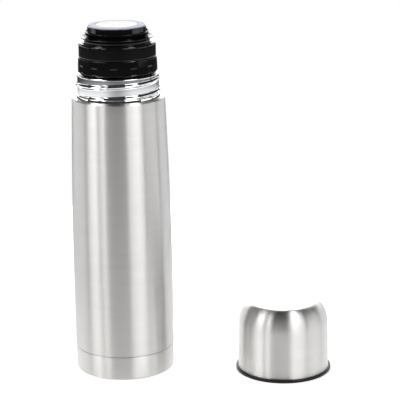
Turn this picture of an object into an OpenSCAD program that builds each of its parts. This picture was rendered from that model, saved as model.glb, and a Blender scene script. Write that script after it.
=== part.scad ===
// Vacuum flask of 0.5 litre: a double-walled steel body with a threaded neck,
// a screw stopper with a push button that opens a valve, and a drinking cup
// that screws over the stopper. The cup stands mouth down beside the flask.
// The origin is the centre of the flask's base, on the surface it stands on.

/* [Flask body] */
// Outside diameter of the body
body_d = 69.6; // [56:0.1:84]
// Height of the shoulder that the neck stands on
shoulder_z = 195; // [160:0.1:240]
// Height where the body starts to narrow
taper_z = 45; // [20:1:140]
// How far the body's radius narrows from there to the shoulder
taper = 2.8; // [0.5:0.1:3.5]
// Sheet thickness of the outer shell and of the neck
shell_t = 0.5; // [0.4:0.05:0.8]
// Sheet thickness of the inner vessel
vessel_t = 0.4; // [0.3:0.05:0.7]
// Evacuated gap between the two walls
vacuum_gap = 4; // [2.5:0.1:4.5]
// Height of the cap pressed on the bottom of the body
base_h = 17; // [14:0.5:24]

/* [Neck and threads] */
// Height of the neck above the shoulder, to the top of its lip
neck_h = 16.2; // [13:0.1:19]
// Rise of the cup's thread in one turn
cup_lead = 8.2; // [6.8:0.1:9.8]
// Rise of the stopper's two-start thread in one turn
stopper_lead = 8; // [7.4:0.1:9.6]

/* [Stopper] */
// Gap between the lip and the stopper, which is not screwed quite home
lift_gap = 1.1; // [0.9:0.05:1.4]
// Height of the lower grip ring
grip_h = 10.5; // [8.5:0.1:13]
// Number of pads round the grip ring
pads = 12; // [8:1:18]
// Height of the upper ring
ring_h = 10; // [8.5:0.1:14]
// How far the button travels
stroke = 2.4; // [2:0.1:2.6]
// Turns in the button's spring
spring_turns = 8; // [6:1:10]

/* [Cup] */
// Height of the cup
cup_h = 49.3; // [44:0.1:60]
// Sheet thickness of the cup
cup_t = 0.5; // [0.4:0.05:0.8]
// Depth of the threaded ring inside the cup's mouth
cup_ring_h = 16; // [13:0.5:19]
// Distance of the cup from the flask, to the side
cup_x = 112.2; // [90:1:140]
// Distance of the cup from the flask, to the front
cup_y = -11; // [-20:1:20]

/* [Hidden] */
$fn = 96;

// Colours
steel = [0.74, 0.73, 0.71];
bright_steel = [0.82, 0.82, 0.83];
black = [0.07, 0.07, 0.08];
white = [0.94, 0.94, 0.96];
clear_gap = 0.02;   // between pieces that touch in the real flask
running_fit = 0.08; // radial, between pieces that slide or turn

// Body
body_r = body_d / 2;
spigot_r = body_r - 1.3;
cap_r = body_r - 0.2;
cap_draft = 0.2;
cap_fillet = 2;
seam = 0.1;
edge_r = 1.2;
disc_z = 9.9;       // underside of the disc that closes the shell
dimple_rise = 1.5;
getter_x = 16;

// Inner vessel and neck
vessel_r = body_r - shell_t - vacuum_gap;
vessel_z = 15;
vessel_corner = 8;
neck_r = body_r - 7;
bore_r = neck_r - 2.7;
seat_drop = 2.8;    // the seat below the bore is a 45 degree cone
throat_r = bore_r - seat_drop;
lip_z = shoulder_z + neck_h;
lip_under_z = lip_z - 1;
seat_z = shoulder_z - 3.4;
throat_z = seat_z - seat_drop - 4.1;
dome_z = throat_z - 15;
neck_ridge = 1.05;
bore_ridge = 0.95;

// Stopper, upwards from the plug's bottom
plug_r = bore_r - 1.7;
plug_in_r = plug_r - 2;
plug_z = seat_z - 1.9;
plug_floor = 2;
gasket_top = plug_z + 3.45;
gasket_in_r = throat_r - 1.25;
gasket_out_r = bore_r - bore_ridge - 0.25;
plug_ridge = 1.4;
valve_hole_r = 0.36 * bore_r;
guide_z = shoulder_z + 9.7;
guide_h = 3;
flange_z = lip_z + lift_gap;
grip_r = neck_r - 0.7;
grip_top_z = flange_z + grip_h;
ring_z = grip_top_z + 0.4;
ring_r = grip_r - 0.8;
ring_top_z = ring_z + ring_h;
collar_r = ring_r - 3.8;
collar_in_r = collar_r - 1.3;
collar_z = ring_z + 0.2;
skirt_r = collar_in_r - 0.8;
skirt_in_r = skirt_r - 1.5;
button_floor_z = ring_top_z + stroke + 1.6;
button_top_z = button_floor_z + 7.3;
disc_r = skirt_r - 1.2;
insert_r = 0.74 * disc_r;
stem_r = 2.5;
spring_r = 4.5;
wire_r = 0.5;

// Cup
cup_r = neck_r + 3.9;
cup_draft = 0.4;
cup_bend_z = 0.6775 * cup_h;
cup_disc_r = 0.677 * cup_r;
rim_r = cup_r + 1.7;
rim_h = 2.1;
ring_bore_r = neck_r + 1.5;

// Points of a quarter of an ellipse, from its side to its top or back
function quarter(cx, cz, rx, rz, n, from = 0, to = 90) =
    [for (i = [0:n]) let(a = from + (to - from) * i / n) [cx + rx * cos(a), cz + rz * sin(a)]];

function reversed(list) = [for (i = [len(list) - 1:-1:0]) list[i]];

// Radius of the body's outside at a height above the base cap
function body_radius(z) = body_r - taper * pow(max(0, (z - taper_z) / (shoulder_z - taper_z)), 2);

// The body's outline from the base cap's seam to the rounded edge of the shoulder
function body_outline(inset) = [
    [body_r - inset, base_h + 0.5],
    for (i = [0:7]) let(z = taper_z + (shoulder_z - edge_r - taper_z) * i / 7) [body_radius(z) - inset, z]
];

module turned(points) { rotate_extrude() polygon(points); }

module ring(r_in, r_out, z, h) {
    translate([0, 0, z]) difference() {
        cylinder(r = r_out, h = h);
        translate([0, 0, -1]) cylinder(r = r_in, h = h + 2);
    }
}

// A rounded helical ridge on a wall of radius root_r. It stands out of the wall when height
// is positive and into the bore when it is negative, and sinks into the wall at both ends.
module thread_ridge(root_r, height, half_w, lead, turns, z) {
    steps = round(36 * turns);
    sunk = 0.2;
    section = [[-1.1, -1], [-0.55, 0.75], [0, 1], [0.55, 0.75], [1.1, -1]];
    count = len(section);
    points = [
        for (i = [0:steps])
            let(a = 360 * turns * i / steps, rise = min(1, min(i, steps - i) / 4))
                for (p = section)
                    let(h = p[1] < 0 ? -1.5 * sunk : (p[1] * abs(height) + sunk) * rise - sunk,
                        r = root_r + sign(height) * h)
                            [r * cos(a), r * sin(a), z + lead * a / 360 + p[0] * half_w]
    ];
    walls = [
        for (i = [0:steps - 1], j = [0:count - 1])
            let(k = (j + 1) % count, a = i * count + j, b = i * count + k)
                each [[a, b, b + count], [a, b + count, a + count]]
    ];
    first = [for (j = [count - 1:-1:0]) j];
    last = [for (j = [0:count - 1]) steps * count + j];
    faces = concat(walls, [first, last]);
    polyhedron(points, height < 0 ? [for (f = faces) reversed(f)] : faces);
}

// The double-walled body

module outer_shell() {
    outside = concat(
        [[spigot_r, disc_z - 3.4], [spigot_r, base_h - 0.1], [body_r - 0.4, base_h + 0.1]],
        body_outline(0),
        quarter(body_radius(shoulder_z) - edge_r, shoulder_z - edge_r, edge_r, edge_r, 5),
        [[neck_r + clear_gap, shoulder_z]]
    );
    inside = concat(
        [[spigot_r - shell_t, disc_z - 3.4], [spigot_r - shell_t, base_h + 0.3],
         [body_r - shell_t, base_h + 1.1]],
        [for (p = body_outline(shell_t)) if (p[1] > base_h + 1.1) p],
        quarter(body_radius(shoulder_z) - edge_r, shoulder_z - edge_r,
                edge_r - shell_t, edge_r - shell_t, 5),
        [[neck_r + clear_gap, shoulder_z - shell_t]]
    );
    color(steel) turned(concat(outside, reversed(inside)));
}

// Pressed cap over the bottom, with one pressed ring to stiffen its flat underside
module base_cap() {
    t = 0.5;
    foot_r = cap_r - cap_draft - cap_fillet;
    groove_r = 0.62 * cap_r;
    outside = concat(
        [[0, 0], [groove_r - 2, 0], [groove_r - 1, 0.7], [groove_r + 1, 0.7], [groove_r + 2, 0]],
        quarter(foot_r, cap_fillet, cap_fillet, cap_fillet, 6, -90, 0),
        [[cap_r, base_h - seam - 0.1]]
    );
    inside = concat(
        [[0, t], [groove_r - 2.2, t], [groove_r - 1.2, 0.7 + t], [groove_r + 1.2, 0.7 + t],
         [groove_r + 2.2, t]],
        quarter(foot_r, cap_fillet, cap_fillet - t, cap_fillet - t, 6, -90, 0),
        [[cap_r - t, base_h - seam - 0.1]]
    );
    color(steel) turned(concat(outside, reversed(inside)));
}

// Disc welded into the shell, with a dimple and a hole through which the air is drawn
module base_disc() {
    r = spigot_r - shell_t - clear_gap;
    top_z = disc_z + shell_t;
    vent_r = 0.8;
    color(steel) turned([
        [vent_r, disc_z + dimple_rise], [3.6, disc_z + dimple_rise], [5.2, disc_z],
        [r - 1.8, disc_z], [r - shell_t, disc_z - 1], [r - shell_t, disc_z - 3.4],
        [r, disc_z - 3.4], [r, disc_z - 0.8], [r - 1.5, top_z],
        [5, top_z], [3.8, top_z + dimple_rise], [vent_r, top_z + dimple_rise]
    ]);
}

// Bead of sealing glass melted over the hole in the disc
module seal_bead() {
    z = disc_z + dimple_rise - clear_gap;
    color([0.25, 0.35, 0.3]) turned([
        [0, z - 1.1], [1.6, z - 1.05], [2.8, z - 0.75], [3.45, z - 0.3], [3.45, z], [0, z]
    ]);
}

module getter_pellet() {
    color([0.35, 0.33, 0.32])
        translate([getter_x, 0, disc_z + shell_t + clear_gap]) cylinder(r = 4, h = 2.2);
}

// Spring-steel strap that holds the getter on the disc
module getter_clip() {
    t = 0.4;
    z = disc_z + shell_t + clear_gap;
    top_z = z + 2.2 + clear_gap;
    color(bright_steel) translate([getter_x, 0, 0]) for (side = [0, 1]) mirror([side, 0, 0]) {
        translate([-0.01, -2, top_z]) cube([5.2, 4, t]);
        translate([4.8, -2, z]) cube([t, 4, top_z - z + t]);
        translate([4.8, -2, z]) cube([3.2, 4, t]);
    }
}

// Inner bottle: body, domed shoulder, throat, seat for the gasket, threaded bore and lip
module inner_vessel() {
    t = vessel_t;
    corner_x = vessel_r - vessel_corner;
    corner_z = vessel_z + vessel_corner;
    throat_out_r = throat_r + t;
    outside = concat(
        [[0, vessel_z]],
        quarter(corner_x, corner_z, vessel_corner, vessel_corner, 6, -90, 0),
        quarter(throat_out_r, dome_z, vessel_r - throat_out_r, throat_z + t - dome_z, 8),
        [[throat_out_r, seat_z - seat_drop - 0.2], [bore_r + t, seat_z - 0.2], [bore_r + t, lip_under_z],
         [neck_r + 0.3, lip_under_z]],
        quarter(neck_r - 0.4, lip_z - 0.7, 0.7, 0.7, 4),
        quarter(bore_r + 1, lip_z - 1, 1, 1, 4, 90, 180)
    );
    inside = concat(
        [[0, vessel_z + t]],
        quarter(corner_x, corner_z, vessel_corner - t, vessel_corner - t, 6, -90, 0),
        quarter(throat_out_r, dome_z, vessel_r - t - throat_out_r, throat_z - dome_z, 8),
        [[throat_r, throat_z], [throat_r, seat_z - seat_drop], [bore_r, seat_z]]
    );
    color(bright_steel) {
        turned(concat(outside, reversed(inside)));
        for (start = [0, 180])
            rotate([0, 0, start])
                thread_ridge(bore_r, -bore_ridge, 0.7, stopper_lead, 0.9, shoulder_z + 1.7);
    }
}

// Foil that reflects heat back into the vessel
module foil_wrap() {
    color([0.8, 0.5, 0.35]) ring(vessel_r + 0.04, vessel_r + 0.16, vessel_z + 10, dome_z - vessel_z - 12);
}

// Neck with a foot bead and a rolled thread for the cup
module threaded_neck() {
    r = neck_r;
    z = shoulder_z;
    color(bright_steel) {
        turned([
            [r, z - shell_t], [r, z + clear_gap], [r + 0.8, z + clear_gap], [r + 1.05, z + 0.6],
            [r + 1.05, z + 1.6], [r + 0.7, z + 2.2], [r, z + 2.5], [r, lip_under_z - clear_gap],
            [r - shell_t, lip_under_z - clear_gap], [r - shell_t, z - shell_t]
        ]);
        rotate([0, 0, -145]) thread_ridge(r, neck_ridge, 1.35, cup_lead, 1.42, z + 1.45);
    }
}

// The stopper

// Seal that rests on the cone below the bore when the stopper is screwed home
module stopper_gasket() {
    bottom = plug_z + 0.85;
    bevel = gasket_out_r - throat_r - (bottom - (seat_z - seat_drop) - 1.03);
    color([0.78, 0.78, 0.76]) turned([
        [gasket_in_r, bottom], [gasket_out_r - bevel, bottom], [gasket_out_r, bottom + bevel],
        [gasket_out_r, gasket_top], [gasket_in_r, gasket_top]
    ]);
}

// Plug with its two-start thread, and the padded grip ring, in one moulding
module stopper_body() {
    neck_of_seal = gasket_in_r - running_fit;
    web_top_z = flange_z + 1.8;
    pad_h = 4.8;
    recess = 9;
    color(black) difference() {
        union() {
            turned([
                [valve_hole_r, plug_z], [gasket_in_r + 0.75, plug_z], [gasket_in_r + 0.75, plug_z + 0.8],
                [neck_of_seal, plug_z + 0.8], [neck_of_seal, gasket_top + 0.05],
                [plug_r, gasket_top + 0.05], [plug_r, flange_z], [grip_r - 0.5, flange_z],
                [grip_r, flange_z + 0.6], [grip_r - 0.1, flange_z + pad_h + 1], [grip_r - 0.4, grip_top_z - 0.4],
                [grip_r - 0.7, grip_top_z], [grip_r - 1.7, grip_top_z], [grip_r - 1.7, web_top_z],
                [plug_r, web_top_z], [plug_r, collar_z - clear_gap], [plug_in_r, collar_z - clear_gap],
                [plug_in_r, guide_z], [plug_in_r - 1.2, guide_z], [plug_in_r - 1.2, guide_z - 1.5],
                [plug_in_r, guide_z - 2.7], [plug_in_r - 1.4, plug_z + plug_floor],
                [valve_hole_r, plug_z + plug_floor]
            ]);
            for (start = [0, 180])
                rotate([0, 0, start])
                    thread_ridge(plug_r, plug_ridge, 0.9, stopper_lead, 1.1,
                                 shoulder_z + 1.7 - stopper_lead / 4);
        }
        for (i = [0:pads - 1])
            rotate([0, 0, -90 - 3.2 + 360 * i / pads])
                translate([grip_r - 0.5, -grip_r * sin(recess / 2), flange_z + 0.9])
                    cube([2, 2 * grip_r * sin(recess / 2), pad_h]);
    }
}

// Upper ring that snaps into the grip ring and clamps the drip collar
module stopper_cap() {
    spigot = grip_r - 1.8;
    wall_in_r = ring_r - 2.3;
    hole_r = collar_r + clear_gap;
    color(black) turned(concat(
        [[wall_in_r, ring_z - 5.6], [spigot, ring_z - 5.6], [spigot, ring_z], [ring_r - 0.3, ring_z],
         [ring_r, ring_z + 0.3]],
        quarter(ring_r - 1.5, ring_top_z - 2.2, 1.5, 1.5, 4),
        [[ring_r - 2.4, ring_top_z - 0.5], [ring_r - 2.7, ring_top_z],
         [hole_r, ring_top_z], [hole_r, ring_top_z - 2.4], [wall_in_r, ring_top_z - 2.4]]
    ));
}

// Pouring collar: the liquid rises between it and the button and runs over its flared lip
module drip_collar() {
    step_z = ring_top_z - 2.5;
    rib_w = 1.2;
    color(black) {
        turned([
            [collar_in_r, collar_z], [collar_r + 1.1, collar_z], [collar_r + 1.1, step_z],
            [collar_r, step_z], [collar_r, ring_top_z + 1.3], [collar_r + 2.2, ring_top_z + 2.8],
            [collar_r + 2.3, ring_top_z + 3.2], [collar_r + 1.9, ring_top_z + 3.4],
            [collar_in_r, ring_top_z + 1.7]
        ]);
        difference() {
            for (a = [45:90:315])
                rotate([0, 0, a]) translate([skirt_r - 2, -rib_w / 2, collar_z + 1])
                    cube([collar_r - 0.5 - skirt_r + 2, rib_w, ring_top_z - collar_z - 1.4]);
            cylinder(r = skirt_r + running_fit, h = button_top_z);
        }
    }
}

// Spider that guides the stem and carries the spring
module stem_guide() {
    rim_out_r = plug_in_r - 0.05;
    rim_in_r = plug_in_r - 1.8;
    hub_r = 6;
    arm_w = 3;
    color(black) difference() {
        union() {
            ring(rim_in_r, rim_out_r, guide_z + clear_gap, guide_h);
            translate([0, 0, guide_z + clear_gap]) cylinder(r = hub_r, h = guide_h);
            for (a = [30, 150, 270])
                rotate([0, 0, a]) translate([hub_r - 1, -arm_w / 2, guide_z + 0.5])
                    cube([rim_in_r - hub_r + 1.8, arm_w, guide_h - 1]);
        }
        translate([0, 0, guide_z - 1]) cylinder(r = stem_r + running_fit, h = guide_h + 2);
    }
}

// Compression spring with a closed coil at each end
module button_spring() {
    low = guide_z + guide_h + 2 * clear_gap + wire_r;
    high = button_floor_z - clear_gap - wire_r;
    closed = 2.1 * wire_r;
    sides = 8;
    per_turn = 24;
    steps = spring_turns * per_turn;
    active = (high - low - 2 * closed) / (spring_turns - 2);
    function coil_z(t) =
        t < 1 ? low + closed * t :
        t > spring_turns - 1 ? high - closed * (spring_turns - t) :
        low + closed + active * (t - 1);
    points = [
        for (i = [0:steps], j = [0:sides - 1])
            let(a = 360 * i / per_turn, b = 360 * j / sides, r = spring_r + wire_r * cos(b))
                [r * cos(a), r * sin(a), coil_z(i / per_turn) + wire_r * sin(b)]
    ];
    walls = [
        for (i = [0:steps - 1], j = [0:sides - 1])
            let(k = (j + 1) % sides, a = i * sides + j, b = i * sides + k)
                each [[a, b, b + sides], [a, b + sides, a + sides]]
    ];
    ends = [[for (j = [sides - 1:-1:0]) j], [for (j = [0:sides - 1]) steps * sides + j]];
    color(bright_steel) polyhedron(points, concat(walls, ends));
}

// The button

// Black carrier of the button, with the upper flared lip that hoods the pouring gap
module button_skirt() {
    rim_r = skirt_r - 0.4;
    rim_top_z = button_top_z - 1;
    pocket_r = disc_r + 0.12;
    floor_z = button_floor_z;
    color(black) turned([
        [stem_r + clear_gap, floor_z - 2.4], [3.6, floor_z - 2.4], [3.6, floor_z],
        [skirt_in_r, floor_z], [skirt_in_r, floor_z - 8.9], [skirt_r, floor_z - 8.9],
        [skirt_r, floor_z - 0.2], [skirt_r + 1.7, floor_z + 2.5], [skirt_r + 1.65, floor_z + 2.75],
        [skirt_r + 1.2, floor_z + 2.8], [skirt_r + 0.25, floor_z + 1.3], [rim_r, floor_z + 1.2],
        [rim_r, rim_top_z - 0.4], [rim_r - 0.4, rim_top_z], [pocket_r, rim_top_z],
        [pocket_r, floor_z + 1.4], [stem_r + clear_gap, floor_z + 1.4]
    ]);
}

module button_cap() {
    low_z = button_floor_z + 1.4 + clear_gap;
    color(white) turned([
        [0, low_z + 1.75], [disc_r - 1.3, low_z + 1.75], [disc_r - 1.3, low_z], [disc_r, low_z],
        [disc_r, button_top_z - 0.4], [disc_r - 0.12, button_top_z - 0.12],
        [disc_r - 0.4, button_top_z], [insert_r + 0.15, button_top_z],
        [insert_r + 0.15, button_top_z - 1.5], [0, button_top_z - 1.5]
    ]);
}

module button_insert() {
    groove_r = 0.52 * insert_r;
    top_z = button_top_z;
    color([0.96, 0.95, 0.93]) turned([
        [0, top_z - 1.5 + clear_gap], [insert_r, top_z - 1.5 + clear_gap], [insert_r, top_z - 0.15],
        [insert_r - 0.15, top_z], [groove_r + 0.2, top_z], [groove_r, top_z - 0.15],
        [groove_r - 0.2, top_z], [0, top_z]
    ]);
}

// Rod from the button down to the valve, with a head that carries the valve plate
module valve_stem() {
    head_z = plug_z - 4.7;
    color([0.85, 0.85, 0.84]) {
        translate([0, 0, head_z]) cylinder(r = 4, h = 1.15);
        translate([0, 0, head_z + 1]) cylinder(r = stem_r, h = button_floor_z + 1.3 - head_z - 1);
    }
}

module valve_plate() {
    r = valve_hole_r + 2.5;
    color(black) turned([
        [stem_r + clear_gap, plug_z - 3.5], [r - 1.5, plug_z - 3.5], [r, plug_z - 2.2], [r, plug_z - 1],
        [stem_r + clear_gap, plug_z - 1]
    ]);
}

module valve_seal() {
    color([0.78, 0.78, 0.76])
        ring(valve_hole_r - 0.6, valve_hole_r + 2.3, plug_z - 1 + clear_gap, 0.95);
}

// The cup

module cup_shell() {
    wall_z = rim_h + clear_gap;
    bend_r = cup_r - cup_draft;
    outside = concat(
        [[cup_r, wall_z]],
        quarter(cup_disc_r, cup_bend_z, bend_r - cup_disc_r, cup_h - cup_bend_z, 10),
        [[0, cup_h]]
    );
    inside = concat(
        [[cup_r - cup_t, wall_z]],
        quarter(cup_disc_r, cup_bend_z, bend_r - cup_t - cup_disc_r, cup_h - cup_t - cup_bend_z, 10),
        [[0, cup_h - cup_t]]
    );
    color(steel) translate([cup_x, cup_y, 0]) turned(concat(outside, reversed(inside)));
}

// Black ring in the cup's mouth: a rim outside and a threaded sleeve inside
module cup_thread_ring() {
    sleeve_r = cup_r - cup_t - cup_draft - clear_gap;
    color(black) translate([cup_x, cup_y, 0]) {
        turned([
            [ring_bore_r, 0], [rim_r - 0.5, 0], [rim_r, 0.5], [rim_r, rim_h - 0.5],
            [rim_r - 0.5, rim_h], [sleeve_r, rim_h], [sleeve_r, cup_ring_h],
            [ring_bore_r, cup_ring_h]
        ]);
        rotate([0, 0, 90])
            thread_ridge(ring_bore_r, -0.95, 1.2, cup_lead, 0.9, 2.7);
    }
}

outer_shell();
base_cap();
base_disc();
seal_bead();
getter_clip();
getter_pellet();
inner_vessel();
foil_wrap();
threaded_neck();
stopper_gasket();
stopper_body();
stopper_cap();
drip_collar();
stem_guide();
button_spring();
button_skirt();
button_cap();
button_insert();
valve_stem();
valve_plate();
valve_seal();
cup_shell();
cup_thread_ring();
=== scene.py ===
# A half-litre vacuum flask of brushed steel, with its push-button stopper on the neck
# and its drinking cup standing mouth down beside it. The sections follow the order in
# which the flask is put together, from the inner vessel out to the cup.
import math

import bmesh
import bpy
from mathutils import Matrix, Vector


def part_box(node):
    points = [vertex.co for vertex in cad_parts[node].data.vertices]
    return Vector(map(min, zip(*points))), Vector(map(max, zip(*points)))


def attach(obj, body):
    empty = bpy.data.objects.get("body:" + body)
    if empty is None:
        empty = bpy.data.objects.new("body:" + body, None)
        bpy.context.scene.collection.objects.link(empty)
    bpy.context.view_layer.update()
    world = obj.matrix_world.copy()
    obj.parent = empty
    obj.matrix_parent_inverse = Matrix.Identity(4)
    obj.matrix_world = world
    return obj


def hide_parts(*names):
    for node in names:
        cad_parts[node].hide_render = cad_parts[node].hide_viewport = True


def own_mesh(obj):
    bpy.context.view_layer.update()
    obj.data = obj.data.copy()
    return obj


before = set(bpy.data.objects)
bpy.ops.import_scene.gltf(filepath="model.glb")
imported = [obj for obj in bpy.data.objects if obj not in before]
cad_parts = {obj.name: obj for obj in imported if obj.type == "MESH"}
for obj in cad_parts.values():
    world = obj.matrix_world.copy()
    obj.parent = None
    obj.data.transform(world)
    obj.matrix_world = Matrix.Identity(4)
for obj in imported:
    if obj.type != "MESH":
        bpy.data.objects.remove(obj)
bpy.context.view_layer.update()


# Studio: a pale table top with soft panels of light round it. The brushed steel shows each
# panel as an upright band. The background is plain white, but what the polished pieces reflect
# is a pale floor that ends about a metre off, and a dim room past it.
MM = 0.001


def node(tree, kind, values=(), **settings):
    """Adds a node, sets its properties, and fills or links its inputs by name or number."""
    made = tree.nodes.new(kind)
    for key, value in settings.items():
        setattr(made, key, value)
    for key, value in dict(values).items():
        if isinstance(value, bpy.types.NodeSocket):
            tree.links.new(value, made.inputs[key])
        else:
            made.inputs[key].default_value = value
    return made


def calc(tree, operation, *terms):
    """A math node's result."""
    return node(tree, "ShaderNodeMath", dict(enumerate(terms)), operation=operation).outputs[0]


def finish(name, **values):
    """A new material, its node tree, and its shader with the given values on its own sockets."""
    made = bpy.data.materials.new(name)
    made.use_nodes = True
    shader = made.node_tree.nodes["Principled BSDF"]
    for key, value in values.items():
        shader.inputs[key.replace("_", " ")].default_value = value
    return made, made.node_tree, shader


world = bpy.data.worlds.new("studio")
bpy.context.scene.world = world
world.use_nodes = True
sky = world.node_tree
sky.nodes.clear()
white_surround = node(sky, "ShaderNodeBackground", {"Color": (1, 1, 1, 1), "Strength": 1.0})
way = node(sky, "ShaderNodeSeparateXYZ", {
    0: node(sky, "ShaderNodeTexCoord").outputs["Generated"]}).outputs
straight_ahead, sideways = 0.6, 1.35
pale_floor = node(sky, "ShaderNodeMapRange", {
    "Value": calc(sky, "ABSOLUTE", way["X"]), "From Min": 0.05, "From Max": 0.8,
    "To Min": straight_ahead, "To Max": sideways}, interpolation_type="SMOOTHSTEP").outputs[0]
floor_ends, dim_starts, dim = -0.193, -0.187, 0.05
surround = node(sky, "ShaderNodeMapRange", {
    "Value": way["Z"], "From Min": floor_ends, "From Max": dim_starts,
    "To Min": pale_floor, "To Max": dim}).outputs[0]
room = node(sky, "ShaderNodeBackground", {"Color": (0.96, 0.98, 1, 1), "Strength": surround})
rays = node(sky, "ShaderNodeLightPath")
shown = node(sky, "ShaderNodeMixShader", {
    0: rays.outputs["Is Camera Ray"], 1: room.outputs[0], 2: white_surround.outputs[0]})
node(sky, "ShaderNodeOutputWorld", {"Surface": shown.outputs[0]})

between_x = 0.05
table_r = 0.45
top = bpy.data.meshes.new("table_top")
disc = bmesh.new()
bmesh.ops.create_circle(disc, cap_ends=True, segments=96, radius=table_r)
disc.to_mesh(top)
disc.free()
table = bpy.data.objects.new("table_top", top)
bpy.context.collection.objects.link(table)
table.location = (between_x, 0, 0)
top.materials.append(finish("pale_table", Base_Color=(0.92, 0.92, 0.92, 1), Roughness=0.6,
                            Emission_Color=(1, 1, 1, 1), Emission_Strength=0.4)[0])


def area_light(name, shape, width, height, energy, place, away=None, tint=(1, 1, 1)):
    """An area light that the camera doesn't see. It shines back along the direction away."""
    lamp = bpy.data.lights.new(name, "AREA")
    lamp.shape = shape
    lamp.size, lamp.size_y = width, height
    lamp.energy = energy
    lamp.color = tint
    holder = bpy.data.objects.new(name, lamp)
    bpy.context.collection.objects.link(holder)
    holder.location = place
    if away:
        holder.rotation_euler = away.to_track_quat("Z", "Y").to_euler()
    holder.visible_camera = False
    return holder


def panel(name, start, end, low, high, radiance, tint=(1, 1, 1), distance=1.3):
    """An upright panel seen from the flask between two bearings in degrees, 0 towards the
    viewer and 90 to the right. low and high are the heights of its edges in metres."""
    middle = math.radians((start + end) / 2)
    height = high - low
    width = 2 * distance * math.tan(math.radians((end - start) / 2))
    away = Vector((math.sin(middle), -math.cos(middle), 0))
    area_light(name, "RECTANGLE", width, height, radiance * math.pi * width * height,
               away * distance + Vector((0, 0, (low + high) / 2)), away, tint)


panel("left_softbox", -82, -56, 0.4, 1.7, 3.8)
panel("left_strip", -45, -35, 0.4, 1.7, 4.2)
panel("right_softbox", 21, 62, 0.4, 1.7, 2.9)
panel("right_fill", 65, 103, 0.15, 0.6, 1.9)
panel("back_right", 108, 148, 0.15, 0.5, 2.0, tint=(0.95, 0.97, 1))
panel("back_left", -148, -88, 0.15, 0.5, 2.1)
panel("back", 156, 204, 0.2, 0.85, 2.8)
area_light("overhead", "DISK", 1.6, 1.6, 18, (between_x, 0.5, 1.6)).visible_glossy = False


def high_lamp(name, bearing, rise, radiance, size=0.2):
    """A small lamp a metre off, at a bearing and a rise in degrees. It lights nothing, and is
    seen only as a glint on rounded edges."""
    angle, tilt = math.radians(bearing), math.radians(rise)
    away = Vector((math.sin(angle) * math.cos(tilt), -math.cos(angle) * math.cos(tilt),
                   math.sin(tilt)))
    area_light(name, "SQUARE", size, size, radiance * math.pi * size ** 2,
               away + Vector((0, 0, 0.2)), away).visible_diffuse = False


high_lamp("high_left", -105, 62, 24)
high_lamp("high_right", 73, 62, 19)

looking_down = math.radians(15.02)
roll = math.radians(-0.83)
eye = bpy.data.cameras.new("camera")
eye.lens = 144.3
eye.clip_start, eye.clip_end = 0.05, 20
camera = bpy.data.objects.new("camera", eye)
bpy.context.collection.objects.link(camera)
camera.location = (0.0548, -1.08, 0.41)
camera.rotation_euler = Matrix.Rotation(math.pi / 2 - looking_down, 4, "X").to_euler()
camera.rotation_euler.rotate_axis("Z", roll)
bpy.context.scene.camera = camera
bpy.context.scene.view_settings.view_transform = "Standard"


# Inner vessel: the bottle that holds the drink, drawn from thin stainless sheet, with a domed
# shoulder, a seat for the stopper's gasket, a rolled thread in its bore, and a lip that is
# folded out over the neck.
def rounded(corners, closed=True, steps=5):
    """Turns a list of (radius, height[, rounding]) corners into points with real arcs."""
    points = []
    for i, corner in enumerate(corners):
        tip = Vector(corner[:2])
        if len(corner) < 3 or not closed and i in (0, len(corners) - 1):
            points.append(tip)
            continue
        back = (Vector(corners[i - 1][:2]) - tip).normalized()
        on = (Vector(corners[(i + 1) % len(corners)][:2]) - tip).normalized()
        half = back.angle(on) / 2
        centre = tip + (back + on).normalized() * corner[2] / math.sin(half)
        start = tip + back * corner[2] / math.tan(half) - centre
        end = tip + on * corner[2] / math.tan(half) - centre
        sweep = math.atan2(start.x * end.y - start.y * end.x, start.dot(end))
        for k in range(steps + 1):
            a = sweep * k / steps
            points.append(centre + Vector((
                start.x * math.cos(a) - start.y * math.sin(a),
                start.x * math.sin(a) + start.y * math.cos(a))))
    return points


def make_piece(name, shape, sharp=42):
    """Makes a bmesh an object with smooth faces, and edges sharp past an angle in degrees."""
    bmesh.ops.recalc_face_normals(shape, faces=shape.faces)
    for face in shape.faces:
        face.smooth = True
    mesh = bpy.data.meshes.new(name)
    shape.to_mesh(mesh)
    shape.free()
    mesh.set_sharp_from_angle(angle=math.radians(sharp))
    piece = bpy.data.objects.new(name, mesh)
    bpy.context.collection.objects.link(piece)
    return piece


def lathe(name, corners, closed=True, segments=240, centre=(0, 0), fine=None):
    """Turns an outline in mm round an upright axis. fine = (low, high, step, least radius)
    cuts long runs between two heights into short ones, where a wall is shaped later or has to
    stay flat in its shine."""
    points = rounded(corners, closed)
    if fine:
        low, high, step, least_r = fine
        cut = []
        ends = points[1:] + points[:1] if closed else points[1:]
        for a, b in zip(points, ends):
            inside = min(a.y, b.y) > low - 0.01 and max(a.y, b.y) < high + 0.01
            inside = inside and min(a.x, b.x) > least_r
            count = max(1, math.ceil(abs(b.y - a.y) / step)) if inside else 1
            cut += [a.lerp(b, k / count) for k in range(count)]
        points = cut if closed else cut + points[-1:]
    turned = bmesh.new()
    rings = []
    for r, z in points:
        spots = 1 if r < 1e-6 else segments
        rings.append([turned.verts.new((
            centre[0] * MM + r * MM * math.cos(2 * math.pi * k / segments),
            centre[1] * MM + r * MM * math.sin(2 * math.pi * k / segments),
            z * MM)) for k in range(spots)])
    for a, b in zip(rings, rings[1:] + rings[:1] if closed else rings[1:]):
        for k in range(segments):
            j = (k + 1) % segments
            four = [a[k % len(a)], a[j % len(a)], b[j % len(b)], b[k % len(b)]]
            face = list(dict.fromkeys(four))
            if len(face) > 2:
                turned.faces.new(face)
    return make_piece(name, turned)


def box_mm(cad_node):
    """A CAD part's lowest and highest corners in mm."""
    return [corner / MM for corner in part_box(cad_node)]


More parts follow.
